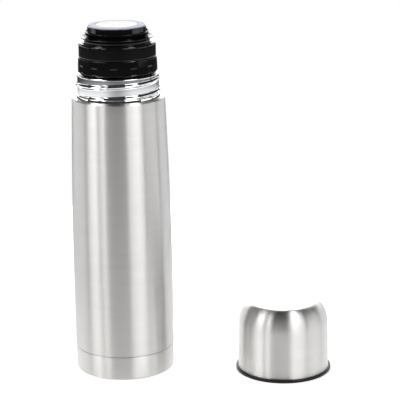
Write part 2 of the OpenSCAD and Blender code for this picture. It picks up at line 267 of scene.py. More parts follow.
def fit(piece, material, body, cad_node):
    """Gives a finished piece its material and its place in the assembly."""
    piece.data.materials.clear()
    piece.data.materials.append(material)
    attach(piece, body)
    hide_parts(cad_node)


def open_tree(name, sizes, counts=()):
    """Starts a Geometry Nodes tree with named sizes, whole counts and a material as inputs."""
    tree = bpy.data.node_groups.new(name, "GeometryNodeTree")
    face = tree.interface
    face.new_socket("Geometry", in_out="INPUT", socket_type="NodeSocketGeometry")
    for count in counts:
        face.new_socket(count, in_out="INPUT", socket_type="NodeSocketInt")
    for size in sizes:
        face.new_socket(size, in_out="INPUT", socket_type="NodeSocketFloat")
    face.new_socket("Material", in_out="INPUT", socket_type="NodeSocketMaterial")
    face.new_socket("Geometry", in_out="OUTPUT", socket_type="NodeSocketGeometry")
    return tree, node(tree, "NodeGroupInput").outputs


def close_tree(tree, shape, material):
    """Ends a tree: what it holds becomes one real mesh, and the mesh gets its material."""
    real = node(tree, "GeometryNodeRealizeInstances", {"Geometry": shape})
    dressed = node(tree, "GeometryNodeSetMaterial", {
        "Geometry": real.outputs[0], "Material": material})
    node(tree, "NodeGroupOutput", {"Geometry": dressed.outputs[0]})
    return tree


def soft_step(tree, value, low, high):
    """Rises smoothly from 0 to 1 as a value goes from low to high."""
    return node(tree, "ShaderNodeMapRange", {
        "Value": value, "From Min": low, "From Max": high},
        interpolation_type="SMOOTHSTEP").outputs[0]


def thread_rolls():
    """Geometry Nodes tree that rolls a helical ridge into a turned wall. Points between the
    two radii are moved in or out by the ridge's height, and the ridge runs out at both ends."""
    tree, given = open_tree("thread_rolls", (
        "Lead", "Starts", "Height", "Half width", "Steepness", "Height at bearing 0",
        "First turn", "Last turn", "Least radius", "Greatest radius", "Centre X", "Centre Y"))
    place = node(tree, "ShaderNodeSeparateXYZ", {
        0: node(tree, "GeometryNodeInputPosition").outputs[0]}).outputs
    x = calc(tree, "SUBTRACT", place["X"], given["Centre X"])
    y = calc(tree, "SUBTRACT", place["Y"], given["Centre Y"])
    radius = calc(tree, "SQRT", calc(tree, "ADD", calc(tree, "MULTIPLY", x, x),
                                     calc(tree, "MULTIPLY", y, y)))
    bearing = calc(tree, "DIVIDE", calc(tree, "ARCTAN2", y, x), 2 * math.pi)
    climb = calc(tree, "DIVIDE", calc(tree, "SUBTRACT", place["Z"], given["Height at bearing 0"]),
                 given["Lead"])
    turns = calc(tree, "SUBTRACT", climb, bearing)
    nearest = calc(tree, "DIVIDE", calc(tree, "ROUND", calc(
        tree, "MULTIPLY", turns, given["Starts"])), given["Starts"])
    off = calc(tree, "MULTIPLY", calc(tree, "ABSOLUTE", calc(
        tree, "SUBTRACT", turns, nearest)), given["Lead"])
    along = calc(tree, "ADD", nearest, bearing)
    flank = calc(tree, "MULTIPLY", calc(tree, "SUBTRACT", 1.0, calc(
        tree, "DIVIDE", off, given["Half width"])), given["Steepness"])
    bump = soft_step(tree, flank, 0.0, 1.0)
    run_out = 0.07
    starting = soft_step(tree, along, given["First turn"], calc(
        tree, "ADD", given["First turn"], run_out))
    ending = soft_step(tree, along, given["Last turn"], calc(
        tree, "SUBTRACT", given["Last turn"], run_out))
    amount = calc(tree, "MULTIPLY", calc(tree, "MULTIPLY", bump, given["Height"]),
                  calc(tree, "MULTIPLY", starting, ending))
    share = calc(tree, "DIVIDE", amount, radius)
    offset = node(tree, "ShaderNodeCombineXYZ", {
        "X": calc(tree, "MULTIPLY", x, share), "Y": calc(tree, "MULTIPLY", y, share)})
    chosen = node(tree, "FunctionNodeBooleanMath", {
        0: calc(tree, "GREATER_THAN", radius, given["Least radius"]),
        1: calc(tree, "LESS_THAN", radius, given["Greatest radius"])})
    moved = node(tree, "GeometryNodeSetPosition", {
        "Geometry": given["Geometry"], "Selection": chosen.outputs[0],
        "Offset": offset.outputs[0]})
    return close_tree(tree, moved.outputs[0], given["Material"])


def apply_tree(piece, tree, sizes):
    """Runs a Geometry Nodes tree on a piece once and keeps the result as its plain mesh."""
    modifier = piece.modifiers.new(tree.name, "NODES")
    modifier.node_group = tree
    sockets = {item.name: item.identifier for item in tree.interface.items_tree
               if item.in_out == "INPUT"}
    for size, value in sizes.items():
        modifier[sockets[size]] = value
    bpy.context.view_layer.update()
    result = bpy.data.meshes.new_from_object(
        piece.evaluated_get(bpy.context.evaluated_depsgraph_get()))
    piece.modifiers.clear()
    old = piece.data
    piece.data = result
    bpy.data.meshes.remove(old)
    result.name = piece.name
    for polygon in result.polygons:
        polygon.use_smooth = True
    result.set_sharp_from_angle(angle=math.radians(50))


rolled = thread_rolls()


def roll_thread(piece, material, lead, height, half_width, steepness, base_z, turns, radii,
                starts=1.0, centre=(0, 0)):
    """Rolls a thread into a wall, in mm. turns are its first and last, counted from base_z at
    bearing 0, and radii are the least and greatest that it touches."""
    apply_tree(piece, rolled, {
        "Lead": lead * MM, "Starts": starts, "Height": height * MM,
        "Half width": half_width * MM, "Steepness": steepness,
        "Height at bearing 0": base_z * MM, "First turn": turns[0], "Last turn": turns[1],
        "Least radius": radii[0] * MM, "Greatest radius": radii[1] * MM,
        "Centre X": centre[0] * MM, "Centre Y": centre[1] * MM, "Material": material})


def vary(tree, shader, pattern, low, high, base, tone, roughness, spread):
    """Lets the colour and the roughness drift a little as a pattern goes from low to high."""
    shade = node(tree, "ShaderNodeMapRange", {
        "Value": pattern, "From Min": low, "From Max": high,
        "To Min": 1 - tone, "To Max": 1 + tone}).outputs[0]
    colour = node(tree, "ShaderNodeVectorMath", {0: base, 3: shade}, operation="SCALE")
    tree.links.new(colour.outputs[0], shader.inputs["Base Color"])
    rough = node(tree, "ShaderNodeMapRange", {
        "Value": pattern, "From Min": low, "From Max": high,
        "To Min": roughness * (1 - spread), "To Max": roughness * (1 + spread)}).outputs[0]
    tree.links.new(rough, shader.inputs["Roughness"])


def relieve(tree, shader, height, depth, strength=1.0):
    """Raises and sinks the surface by a pattern, to a depth in mm."""
    relief = node(tree, "ShaderNodeBump", {
        "Height": height, "Strength": strength, "Distance": depth * MM})
    tree.links.new(relief.outputs[0], shader.inputs["Normal"])


def steel(name, base, roughness, grain=0.0, brushed=0.0, variation=0.05):
    """Stainless steel. grain is the depth of the fine lines that run round the piece, in mm."""
    made, tree, shader = finish(name, Metallic=1.0, Anisotropic=brushed,
                                Anisotropic_Rotation=0.25)
    where = node(tree, "ShaderNodeTexCoord").outputs["Object"]

    def streaks(scale, **detail):
        return node(tree, "ShaderNodeTexNoise", {
            "Vector": node(tree, "ShaderNodeMapping", {
                "Vector": where, "Scale": scale}).outputs[0],
            "Scale": 1.0, **detail}).outputs["Fac"]

    lines = streaks((28, 28, 5200), Detail=3.0, Roughness=0.6)
    clouds = streaks((22, 22, 160), Detail=2.0)
    mixed = calc(tree, "ADD", lines, clouds)
    vary(tree, shader, mixed, 0.6, 1.4, base, variation, roughness, 0.07)
    if brushed:
        direction = node(tree, "ShaderNodeTangent", direction_type="RADIAL", axis="Z")
        tree.links.new(direction.outputs[0], shader.inputs["Tangent"])
    if grain:
        relieve(tree, shader, lines, grain)
    return made


vessel_low, vessel_high = box_mm("inner_vessel")
neck_low, neck_high = box_mm("threaded_neck")
shell_low, shell_high = box_mm("outer_shell")
shoulder_z = shell_high.z
neck_r = shell_high.x - 7
bore_r = neck_r - 2.7
vessel_r = vessel_high.x
vessel_wall = 0.4
seat_z = shoulder_z - 3.4
seat_h = 2.8
throat_r = bore_r - seat_h
throat_z = seat_z - 6.9
dome_z = throat_z - 15
dimple_z = vessel_low.z + 1.2
floor_in_z = vessel_low.z + vessel_wall


def dome(r_from, r_to, z_from, z_to, steps=20):
    """A quarter of an ellipse from the vessel's side over to its throat."""
    return [(r_to + (r_from - r_to) * math.cos(math.pi / 2 * k / steps),
             z_from + (z_to - z_from) * math.sin(math.pi / 2 * k / steps))
            for k in range(1, steps)]


outside_throat = throat_r + vessel_wall
vessel = lathe("inner_vessel", [
    (0, dimple_z), (9, dimple_z, 6), (15, vessel_low.z, 6),
    (vessel_r, vessel_low.z, 8), (vessel_r, dome_z),
    *dome(vessel_r, outside_throat, dome_z, throat_z + vessel_wall),
    (outside_throat, throat_z + vessel_wall, 0.3), (outside_throat, seat_z - 3, 0.6),
    (bore_r + vessel_wall, seat_z - 0.2, 0.6), (bore_r + vessel_wall, neck_high.z + 0.02),
    (neck_r + 0.25, neck_high.z + 0.02, 0.12), (neck_r + 0.3, vessel_high.z, 0.75),
    (bore_r, vessel_high.z, 1.0), (bore_r, seat_z, 0.5), (throat_r, seat_z - seat_h, 0.5),
    (throat_r, throat_z, 0.2),
    *dome(vessel_r - vessel_wall, outside_throat, dome_z, throat_z)[::-1],
    (vessel_r - vessel_wall, dome_z), (vessel_r - vessel_wall, floor_in_z, 7.5),
    (15.2, floor_in_z, 6), (9.2, dimple_z + vessel_wall, 6), (0, dimple_z + vessel_wall),
], closed=False, fine=(seat_z, neck_high.z, 0.25, 0))
bright_steel = steel("bright_steel", (0.72, 0.72, 0.72), 0.12, grain=0.0006)
stopper_lead = 8
roll_thread(vessel, bright_steel, stopper_lead, height=-0.95, half_width=0.85, steepness=1.5,
            base_z=shoulder_z + 1.7, turns=(0.0, 0.9), radii=(bore_r - 0.5, bore_r + 1),
            starts=2.0)
fit(vessel, bright_steel, "flask", "inner_vessel")


# Foil: a wrap of bright foil round the vessel, which reflects heat back into the drink. It is
# laid on before the vessel goes into the shell, and shows faint creases.
foil_low, foil_high = box_mm("foil_wrap")
foil_in_r = foil_high.x - 0.12
foil = lathe("foil_wrap", [
    (foil_in_r, foil_low.z), (foil_high.x, foil_low.z),
    (foil_high.x, foil_high.z), (foil_in_r, foil_high.z)])
foil_metal = steel("foil", (0.8, 0.8, 0.82), 0.2, variation=0.02)
tree = foil_metal.node_tree
creases = node(tree, "ShaderNodeTexVoronoi", {
    "Vector": node(tree, "ShaderNodeTexCoord").outputs["Object"], "Scale": 90.0},
    feature="DISTANCE_TO_EDGE").outputs["Distance"]
relieve(tree, tree.nodes["Principled BSDF"], creases, 0.4, strength=0.5)
fit(foil, foil_metal, "flask", "foil_wrap")


# Outer shell: one drawn steel tube with a rounded top edge and a narrow ledge round the neck.
# It is brushed round and round, and its lower end is stepped in to take the base cap.
spigot_r = shell_high.x - 1.3
shell_wall = 0.5
base_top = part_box("base_cap")[1].z / MM
edge_r = 1.2
taper_z = 45
taper = 2.8
ledge_r = neck_r + 0.02
ledge_z = shoulder_z - shell_wall


def body_line(inset, steps=28):
    """The side of the body, upright and then drawn in along a wide curve to the shoulder."""
    span = shoulder_z - edge_r - taper_z
    return [(shell_high.x - inset - taper * (span * k / steps / (shoulder_z - taper_z)) ** 2,
             taper_z + span * k / steps) for k in range(steps + 1)]


top_r = shell_high.x - taper
shell = lathe("outer_shell", [
    (spigot_r, shell_low.z), (spigot_r, base_top + 0.1),
    (shell_high.x - 0.45, base_top + 0.2, 0.15),
    (shell_high.x, base_top + 0.65, 0.4),
    *body_line(0)[:-1],
    (top_r, shoulder_z, edge_r), (ledge_r, shoulder_z), (ledge_r, ledge_z),
    (top_r - shell_wall, ledge_z, 0.6),
    *body_line(shell_wall)[-2::-1],
    (shell_high.x - shell_wall, base_top + 1.2), (spigot_r - shell_wall, base_top + 0.4),
    (spigot_r - shell_wall, shell_low.z)], segments=288)
body_steel = steel("body_steel", (0.66, 0.65, 0.635), 0.4, grain=0.0018, brushed=1.0)
fit(shell, body_steel, "flask", "outer_shell")


# Neck: a short tube of mirror-polished steel, welded to the shell's ledge over a small foot
# bead. The cup's thread is rolled into it, so the wall itself swells out along the thread.
neck = lathe("threaded_neck", [
    (neck_r, neck_low.z), (neck_r, shoulder_z + 0.02), (neck_r + 1.25, shoulder_z + 0.02, 0.2),
    (neck_r + 0.95, shoulder_z + 2.1, 0.75), (neck_r, shoulder_z + 2.6, 0.5),
    (neck_r, neck_high.z), (neck_r - shell_wall, neck_high.z), (neck_r - shell_wall, neck_low.z)],
    segments=480, fine=(shoulder_z + 2.2, neck_high.z, 0.12, 0))
mirror_steel = steel("mirror_steel", (0.78, 0.78, 0.78), 0.05, variation=0.01)
cup_lead = 8.2
before_0 = 145 / 360
thread_turns = 1.42
roll_thread(neck, mirror_steel, cup_lead, height=1.05, half_width=1.9, steepness=1.0,
            base_z=shoulder_z + 1.45 + cup_lead * before_0,
            turns=(-before_0, thread_turns - before_0), radii=(neck_r - 1, neck_r + 0.5))
fit(neck, mirror_steel, "flask", "threaded_neck")


# Base cap: a pressed steel cap glued over the stepped end of the shell. A hair-wide dark seam
# is left above it, and one pressed ring stiffens its flat underside.
cap_high = box_mm("base_cap")[1]
foot_r = cap_high.x - 0.2
groove_r = 0.62 * cap_high.x
cap_t = 0.5
groove_h = 0.7
base = lathe("base_cap", [
    (0, 0), (groove_r - 2, 0, 1), (groove_r - 1, groove_h, 1), (groove_r + 1, groove_h, 1),
    (groove_r + 2, 0, 1), (foot_r, 0, 2), (cap_high.x, cap_high.z, 0.22),
    (cap_high.x - cap_t, cap_high.z, 0.1), (foot_r - cap_t, cap_t, 1.5),
    (groove_r + 2.2, cap_t, 1), (groove_r + 1.2, groove_h + cap_t, 1),
    (groove_r - 1.2, groove_h + cap_t, 1), (groove_r - 2.2, cap_t, 1), (0, cap_t)],
    closed=False, segments=288)
base_steel = steel("base_steel", (0.7, 0.69, 0.675), 0.4, grain=0.0018, brushed=1.0)
fit(base, base_steel, "flask", "base_cap")


# Base disc: a pressed steel disc that is welded into the shell's lower end. The air is drawn
# out through the hole in its dimple. It is hidden by the base cap.
rim_low, rim_high = box_mm("base_disc")
disc_z = rim_low.z + 3.4
disc_t = 0.5
disc_rim_r = rim_high.x
hole_r = 0.8
dimple_h = 1.5
sealing_disc = lathe("base_disc", [
    (hole_r, disc_z + dimple_h), (3.6, disc_z + dimple_h, 0.5), (5.2, disc_z, 0.8),
    (disc_rim_r - 1.8, disc_z, 0.6), (disc_rim_r - disc_t, disc_z - 1, 0.5),
    (disc_rim_r - disc_t, rim_low.z), (disc_rim_r, rim_low.z), (disc_rim_r, disc_z - 0.8, 0.8),
    (disc_rim_r - 1.5, disc_z + disc_t, 0.8), (5, disc_z + disc_t, 0.6),
    (3.8, disc_z + dimple_h + disc_t, 0.6), (hole_r, disc_z + dimple_h + disc_t)])
fit(sealing_disc, bright_steel, "flask", "base_disc")


# Sealing bead: a drop of greenish solder glass. It is laid in the disc's dimple and melted
# over the hole in the vacuum furnace, which closes the vacuum.
bead_low, bead_high = box_mm("seal_bead")
bead_h = bead_high.z - bead_low.z
bead_rim = 0.3
bead_steps = 12
bead = lathe("seal_bead", [
    *[(bead_high.x * math.sin(math.pi / 2 * k / bead_steps), bead_high.z - bead_rim
       - (bead_h - bead_rim) * math.cos(math.pi / 2 * k / bead_steps))
      for k in range(bead_steps + 1)],
    (bead_high.x, bead_high.z), (0, bead_high.z)], closed=False, segments=96)
glass, tree, shader = finish("sealing_glass", Transmission_Weight=0.9, IOR=1.52, Roughness=0.04)
bubbles = node(tree, "ShaderNodeTexNoise", {
    "Vector": node(tree, "ShaderNodeTexCoord").outputs["Object"], "Scale": 900.0}).outputs["Fac"]
tint = node(tree, "ShaderNodeMix", {
    0: bubbles, 6: (0.16, 0.25, 0.2, 1), 7: (0.26, 0.34, 0.29, 1)}, data_type="RGBA")
tree.links.new(tint.outputs[2], shader.inputs["Base Color"])
fit(bead, glass, "flask", "seal_bead")


# Getter pellet: a small tablet of sintered metal powder. It is held under a strap inside the
# vacuum, where it takes up the last gas.
pellet_low, pellet_high = box_mm("getter_pellet")
getter_x = (pellet_low.x + pellet_high.x) / 2
pellet_r = pellet_high.x - getter_x
pellet = lathe("getter_pellet", [
    (0, pellet_low.z), (pellet_r, pellet_low.z, 0.3), (pellet_r, pellet_high.z, 0.4),
    (0, pellet_high.z)], closed=False, segments=96, centre=(getter_x, 0))


def moulded(name, base, roughness, grain=0.004, grain_size=0.5, mottle=0.03, **more):
    """A plain moulded material: its tone, shine and surface vary a little. Sizes in mm."""
    made, tree, shader = finish(name, **more)
    where = node(tree, "ShaderNodeTexCoord").outputs["Object"]
    fine = node(tree, "ShaderNodeTexNoise", {
        "Vector": where, "Scale": 1 / (grain_size * MM), "Detail": 2.0}).outputs["Fac"]
    broad = node(tree, "ShaderNodeTexNoise", {
        "Vector": where, "Scale": 70.0, "Detail": 3.0}).outputs["Fac"]
    vary(tree, shader, broad, 0.3, 0.7, base, mottle, roughness, 0.1)
    relieve(tree, shader, fine, grain)
    return made


sintered = moulded("sintered_metal", (0.3, 0.29, 0.28), 0.85, grain=0.05, mottle=0.12,
                   Metallic=0.7)
fit(pellet, sintered, "flask", "getter_pellet")


# Getter strap: a strip of spring steel bent into a bridge over the pellet. Its two feet are
# spot-welded to the disc.
clip_low, clip_high = box_mm("getter_clip")
strip_t = 0.4
strip_half = 2
foot_z = clip_low.z
leg_x = 4.8
toe_x = 8
inner_z = clip_high.z - strip_t
outer_x = leg_x + strip_t
strap_outline = rounded([
    (-toe_x, foot_z), (-leg_x, foot_z, 0.3), (-leg_x, inner_z, 0.3), (leg_x, inner_z, 0.3),
    (leg_x, foot_z, 0.3), (toe_x, foot_z), (toe_x, foot_z + strip_t),
    (outer_x, foot_z + strip_t, 0.1), (outer_x, clip_high.z, 0.6), (-outer_x, clip_high.z, 0.6),
    (-outer_x, foot_z + strip_t, 0.1), (-toe_x, foot_z + strip_t)])
bent = bmesh.new()
front, back = (
    [bent.verts.new(((getter_x + x) * MM, y * MM, z * MM)) for x, z in strap_outline]
    for y in (-strip_half, strip_half))
for k in range(len(front)):
    bent.faces.new((front[k - 1], front[k], back[k], back[k - 1]))
bent.faces.new(front)
bent.faces.new(back)
strap = make_piece("getter_clip", bent, sharp=40)
fit(strap, bright_steel, "flask", "getter_clip")


# Stopper gasket: a silicone ring in a groove near the plug's bottom. Its bevel closes on the
# cone in the vessel's mouth when the stopper is screwed home.
gasket_low, gasket_high = box_mm("stopper_gasket")
plug_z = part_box("stopper_body")[0].z / MM
gasket_in_r = throat_r - 1.25
open_gap = 1.03
bevel = gasket_high.x - throat_r - (gasket_low.z - (seat_z - seat_h) - open_gap)
gasket = lathe("stopper_gasket", [
    (gasket_in_r, gasket_low.z, 0.15), (gasket_high.x - bevel, gasket_low.z, 0.4),
    (gasket_high.x, gasket_low.z + bevel, 0.4), (gasket_high.x, gasket_high.z, 0.3),
    (gasket_in_r, gasket_high.z, 0.15)])
silicone = moulded("silicone", (0.72, 0.72, 0.7), 0.45, grain=0.01, Subsurface_Weight=0.3,
                   Subsurface_Scale=0.002)
fit(gasket, silicone, "stopper_seal", "stopper_gasket")


# Stopper body: the black plug with its two-start thread and, above the flask's lip, the grip
# ring. One moulding, with a row of shallow recesses that leave raised pads to grip.
lip_z = vessel_high.z
flange_z = lip_z + 1.1
grip_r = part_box("stopper_body")[1].x / MM
plug_r = bore_r - 1.7
plug_in_r = plug_r - 2
snap_r = plug_in_r - 1.2
floor_top = plug_z + 2
gasket_top = gasket_high.z
valve_hole_r = 0.36 * bore_r
guide_low, guide_high = box_mm("stem_guide")
guide_z = guide_low.z - 0.02
grip_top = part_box("stopper_cap")[0].z / MM + 5.2
web_z = flange_z + 1.8
rim_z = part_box("stopper_body")[1].z / MM
nose_r = gasket_in_r + 0.75
nose_z = plug_z + 0.8
seat_in_r = gasket_in_r - 0.08
seat_top = gasket_top + 0.05
plug = lathe("stopper_body", [
    (valve_hole_r, plug_z, 0.3), (nose_r, plug_z, 0.3), (nose_r, nose_z, 0.15),
    (seat_in_r, nose_z), (seat_in_r, seat_top), (plug_r, seat_top, 0.3), (plug_r, flange_z),
    (grip_r - 0.5, flange_z, 0.3), (grip_r, flange_z + 0.6, 0.3),
    (grip_r - 0.1, flange_z + 5.8, 0.6),
    (grip_r - 0.4, grip_top - 0.4, 0.3), (grip_r - 0.7, grip_top, 0.2), (grip_r - 1.7, grip_top),
    (grip_r - 1.7, web_z, 0.3), (plug_r, web_z, 0.3), (plug_r, rim_z), (plug_in_r, rim_z, 0.3),
    (plug_in_r, guide_z), (snap_r, guide_z), (snap_r, guide_z - 1.5),
    (plug_in_r, guide_z - 2.7, 0.5), (plug_in_r - 1.4, floor_top, 1),
    (valve_hole_r, floor_top, 0.3),
], segments=432, fine=(gasket_top, grip_top, 0.35, plug_r - 0.1))


def grip_recesses():
    """Geometry Nodes tree that sinks a row of shallow recesses into a round wall."""
    tree, given = open_tree("grip_recesses", (
        "Count", "First bearing", "Recess width", "Depth", "Low", "High", "Edge", "Least radius"))
    place = node(tree, "ShaderNodeSeparateXYZ", {
        0: node(tree, "GeometryNodeInputPosition").outputs[0]}).outputs
    radius = node(tree, "ShaderNodeVectorMath", {
        0: node(tree, "ShaderNodeCombineXYZ", {"X": place["X"], "Y": place["Y"]}).outputs[0]},
        operation="LENGTH").outputs["Value"]
    bearing = calc(tree, "SUBTRACT", calc(tree, "ARCTAN2", place["Y"], place["X"]),
                   given["First bearing"])
    share = calc(tree, "MULTIPLY", bearing, calc(tree, "DIVIDE", given["Count"], 2 * math.pi))
    off = calc(tree, "ABSOLUTE", calc(tree, "SUBTRACT", share, calc(tree, "ROUND", share)))
    reach = calc(tree, "MULTIPLY", calc(tree, "MULTIPLY", off, radius),
                 calc(tree, "DIVIDE", 2 * math.pi, given["Count"]))
    half_width = calc(tree, "MULTIPLY", given["Recess width"], 0.5)
    across, above_low, below_high = (
        soft_step(tree, calc(tree, "SUBTRACT", more, less), 0.0, given["Edge"])
        for more, less in ((half_width, reach), (place["Z"], given["Low"]),
                           (given["High"], place["Z"])))
    depth = calc(tree, "MULTIPLY", calc(tree, "MULTIPLY", across, given["Depth"]),
                 calc(tree, "MULTIPLY", above_low, below_high))
    inward = calc(tree, "DIVIDE", calc(tree, "MULTIPLY", depth, -1.0), radius)
    moved = node(tree, "GeometryNodeSetPosition", {
        "Geometry": given["Geometry"],
        "Selection": calc(tree, "GREATER_THAN", radius, given["Least radius"]),
        "Offset": node(tree, "ShaderNodeCombineXYZ", {
            "X": calc(tree, "MULTIPLY", place["X"], inward),
            "Y": calc(tree, "MULTIPLY", place["Y"], inward)}).outputs[0]})
    return close_tree(tree, moved.outputs[0], given["Material"])


gloss_black = moulded("gloss_black", (0.004, 0.004, 0.0044), 0.1, grain=0.001, grain_size=1.5,
                     Specular_IOR_Level=0.3)
recess_half_angle = math.radians(4.5)
apply_tree(plug, grip_recesses(), {
    "Count": 12.0, "First bearing": math.radians(-93.2),
    "Recess width": 2 * grip_r * math.sin(recess_half_angle) * MM, "Depth": 0.5 * MM,
    "Low": (flange_z + 0.7) * MM, "High": (flange_z + 5.9) * MM, "Edge": 0.5 * MM,
    "Least radius": (grip_r - 0.9) * MM, "Material": gloss_black})
roll_thread(plug, gloss_black, stopper_lead, height=1.4, half_width=1.0, steepness=1.6,
            base_z=shoulder_z - 0.3, turns=(0.0, 1.1), radii=(plug_r - 0.05, plug_r + 0.05),
            starts=2.0)
fit(plug, gloss_black, "stopper", "stopper_body")


# Stopper cap: the black upper ring, pressed into the grip ring, with a rounded top edge. A
# thin dark groove is left between the two.
ring_low, ring_high = box_mm("stopper_cap")
ring_r = ring_high.x
ring_z = ring_low.z + 5.6
ring_top = ring_high.z
collar_r = ring_r - 3.8
ring_in_r = ring_r - 2.3
press_r = grip_r - 1.8
collar_fit_r = collar_r + 0.02
lid_z = ring_top - 2.4
ring = lathe("stopper_cap", [
    (ring_in_r, ring_low.z), (press_r, ring_low.z, 0.3), (press_r, ring_z),
    (ring_r, ring_z, 0.35), (ring_r, ring_top - 0.7, 1.5), (ring_r - 2.4, ring_top - 0.5, 0.3),
    (ring_r - 2.7, ring_top, 0.3), (collar_fit_r, ring_top, 0.2), (collar_fit_r, lid_z),
    (ring_in_r, lid_z)], segments=288, fine=(ring_z, ring_top, 0.4, ring_r - 0.1))
fit(ring, gloss_black, "stopper", "stopper_cap")


# Drip collar: the black pouring tube held under the ring. The drink rises between it and the
# button and runs over its flared lip. Four thin ribs keep the button central.
collar_low, collar_high = box_mm("drip_collar")
collar_z = collar_low.z
collar_in_r = collar_r - 1.3
skirt_r = collar_in_r - 0.8
foot_out_r = collar_r + 1.1
foot_top = ring_top - 2.5
collar = lathe("drip_collar", [
    (collar_in_r, collar_z), (foot_out_r, collar_z), (foot_out_r, foot_top),
    (collar_r, foot_top), (collar_r, ring_top + 1.3, 0.8),
    (collar_r + 2.25, ring_top + 2.9, 0.25), (collar_r + 2.0, collar_high.z, 0.25),
    (collar_in_r, ring_top + 1.7, 2)], segments=288)


def spokes():
    """Geometry Nodes tree that sets a number of flat spokes round a turned piece."""
    tree, given = open_tree("spokes", (
        "First bearing", "Inner radius", "Outer radius", "Width", "Low", "High"), ("Count",))
    bar = node(tree, "GeometryNodeMeshCube", {"Size": node(tree, "ShaderNodeCombineXYZ", {
        "X": calc(tree, "SUBTRACT", given["Outer radius"], given["Inner radius"]),
        "Y": given["Width"], "Z": calc(tree, "SUBTRACT", given["High"], given["Low"])}).outputs[0]})
    out = node(tree, "GeometryNodeTransform", {
        "Geometry": bar.outputs["Mesh"], "Translation": node(tree, "ShaderNodeCombineXYZ", {
            "X": calc(tree, "MULTIPLY", calc(
                tree, "ADD", given["Outer radius"], given["Inner radius"]), 0.5),
            "Z": calc(tree, "MULTIPLY", calc(tree, "ADD", given["High"], given["Low"]), 0.5),
        }).outputs[0]})
    turn = calc(tree, "ADD", given["First bearing"], calc(
        tree, "MULTIPLY", node(tree, "GeometryNodeInputIndex").outputs[0],
        calc(tree, "DIVIDE", 2 * math.pi, given["Count"])))
    placed = node(tree, "GeometryNodeInstanceOnPoints", {
        "Points": node(tree, "GeometryNodePoints", {"Count": given["Count"]}).outputs[0],
        "Instance": out.outputs[0],
        "Rotation": node(tree, "ShaderNodeCombineXYZ", {"Z": turn}).outputs[0]})
    joined = node(tree, "GeometryNodeJoinGeometry")
    tree.links.new(placed.outputs[0], joined.inputs[0])
    tree.links.new(given["Geometry"], joined.inputs[0])
    return close_tree(tree, joined.outputs[0], given["Material"])


spoked = spokes()
apply_tree(collar, spoked, {
    "Count": 4, "First bearing": math.radians(45), "Inner radius": (skirt_r + 0.1) * MM,
    "Outer radius": (collar_r - 0.5) * MM, "Width": 1.2 * MM, "Low": (collar_z + 1) * MM,
    "High": (ring_top - 0.4) * MM, "Material": gloss_black})
fit(collar, gloss_black, "stopper", "drip_collar")


# Stem guide: a black moulded spider with three arms, snapped into the plug. Its hub guides the
# stem and carries the spring.
guide_r = guide_high.x
guide_in_r = plug_in_r - 1.8
hub_r = 6
stem_hole_r = 2.58
guide = lathe("stem_guide", [
    (guide_in_r, guide_low.z, 0.2), (guide_r, guide_low.z, 0.2), (guide_r, guide_high.z, 0.3),
    (guide_in_r, guide_high.z, 0.3)], segments=192)
hub = lathe("hub", [
    (stem_hole_r, guide_low.z, 0.2), (hub_r, guide_low.z, 0.4), (hub_r, guide_high.z, 0.4),
    (stem_hole_r, guide_high.z, 0.2)], segments=96)
both = bmesh.new()
both.from_mesh(guide.data)
both.from_mesh(hub.data)
both.to_mesh(guide.data)
both.free()
bpy.data.objects.remove(hub)
apply_tree(guide, spoked, {
    "Count": 3, "First bearing": math.radians(30), "Inner radius": (hub_r - 0.3) * MM,
    "Outer radius": (plug_in_r - 1.5) * MM, "Width": 3 * MM, "Low": (guide_z + 0.5) * MM,
    "High": (guide_z + 2.5) * MM, "Material": gloss_black})
fit(guide, gloss_black, "stopper", "stem_guide")


# Button spring: a compression spring of stainless wire between the guide's hub and the
# button's floor, with a closed coil at each end. Pressing the button shortens it.
def coil():
    """Geometry Nodes tree for a compression spring whose first and last turns lie closed."""
    tree, given = open_tree("coil", ("Turns", "Coil radius", "Wire radius", "Low", "High"))
    steps = 320
    line = node(tree, "GeometryNodeMeshLine", {"Count": steps + 1})
    wound = calc(tree, "MULTIPLY", node(tree, "GeometryNodeInputIndex").outputs[0],
                 calc(tree, "DIVIDE", given["Turns"], float(steps)))
    closed = calc(tree, "MULTIPLY", given["Wire radius"], 2.1)
    bottom = calc(tree, "ADD", given["Low"], given["Wire radius"])
    height = calc(tree, "SUBTRACT", calc(tree, "SUBTRACT", given["High"], given["Low"]),
                  calc(tree, "MULTIPLY", given["Wire radius"], 2.0))
    open_turns = calc(tree, "SUBTRACT", given["Turns"], 2.0)
    pitch = calc(tree, "DIVIDE", calc(tree, "SUBTRACT", height, calc(
        tree, "MULTIPLY", closed, given["Turns"])), open_turns)
    opened = calc(tree, "MAXIMUM", calc(tree, "MINIMUM", calc(
        tree, "SUBTRACT", wound, 1.0), open_turns), 0.0)
    rise = calc(tree, "ADD", calc(tree, "MULTIPLY", closed, wound),
                calc(tree, "MULTIPLY", pitch, opened))
    angle = calc(tree, "MULTIPLY", wound, 2 * math.pi)
    wire = node(tree, "GeometryNodeSetPosition", {
        "Geometry": node(tree, "GeometryNodeMeshToCurve", {"Mesh": line.outputs[0]}).outputs[0],
        "Position": node(tree, "ShaderNodeCombineXYZ", {
            "X": calc(tree, "MULTIPLY", calc(tree, "COSINE", angle), given["Coil radius"]),
            "Y": calc(tree, "MULTIPLY", calc(tree, "SINE", angle), given["Coil radius"]),
            "Z": calc(tree, "ADD", bottom, rise)}).outputs[0]})
    section = node(tree, "GeometryNodeCurvePrimitiveCircle", {
        "Resolution": 12, "Radius": given["Wire radius"]})
    swept = node(tree, "GeometryNodeCurveToMesh", {
        "Curve": wire.outputs[0], "Profile Curve": section.outputs[0], "Fill Caps": True})
    return close_tree(tree, swept.outputs[0], given["Material"])


